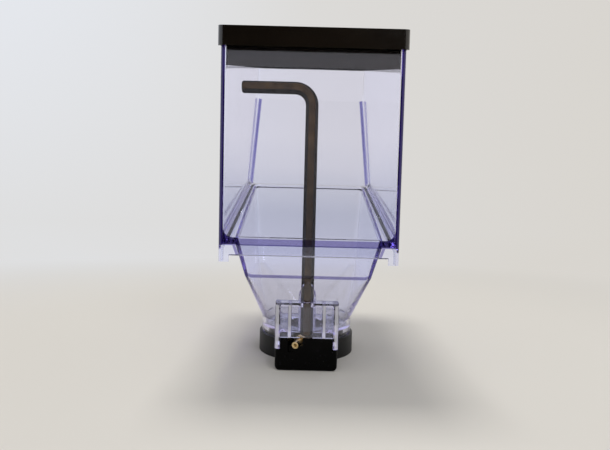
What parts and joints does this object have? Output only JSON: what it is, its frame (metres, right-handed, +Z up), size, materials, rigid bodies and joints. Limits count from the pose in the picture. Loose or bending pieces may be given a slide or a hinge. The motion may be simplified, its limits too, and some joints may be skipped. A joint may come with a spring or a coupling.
{
  "type": "coffee grinder bean hopper",
  "caption": "Clear bean hopper with a back-sloping lid, funnel floor, round neck collar, slide gate with lock screw, and a hex key standing in its bore.",
  "frame": {"origin": "centre of the collar's underside, where the neck plugs into the grinder", "axes": "+Z up along the neck, +Y to the back, away from the gate's finger block, +X to the right seen from the front"},
  "size_m": [0.1042, 0.1723, 0.2434],
  "materials": {
    "clear_violet": "clear moulded plastic with a violet tint",
    "smoke_brown": "dark smoke-brown gloss plastic",
    "collar_black": "black satin moulded plastic",
    "gate_black": "black gloss moulded plastic",
    "screw_brass": "turned brass",
    "key_steel": "dark bronze-black drawn steel"
  },
  "bodies": {
    "hopper": {"bin_shell": "clear_violet", "collar": "collar_black", "hex_key": "key_steel"},
    "lid": {"lid": "smoke_brown"},
    "gate": {"gate_slide": "gate_black", "lock_screw": "screw_brass"}
  },
  "joints": [
    {"name": "lid_lift", "type": "slide", "parent": "hopper", "child": "lid", "axis": [0, 0, 1], "range_m": [0, 0.06]},
    {"name": "gate_pull", "type": "slide", "parent": "hopper", "child": "gate", "axis": [0, -1, 0], "range_m": [0, 0.042]}
  ]
}
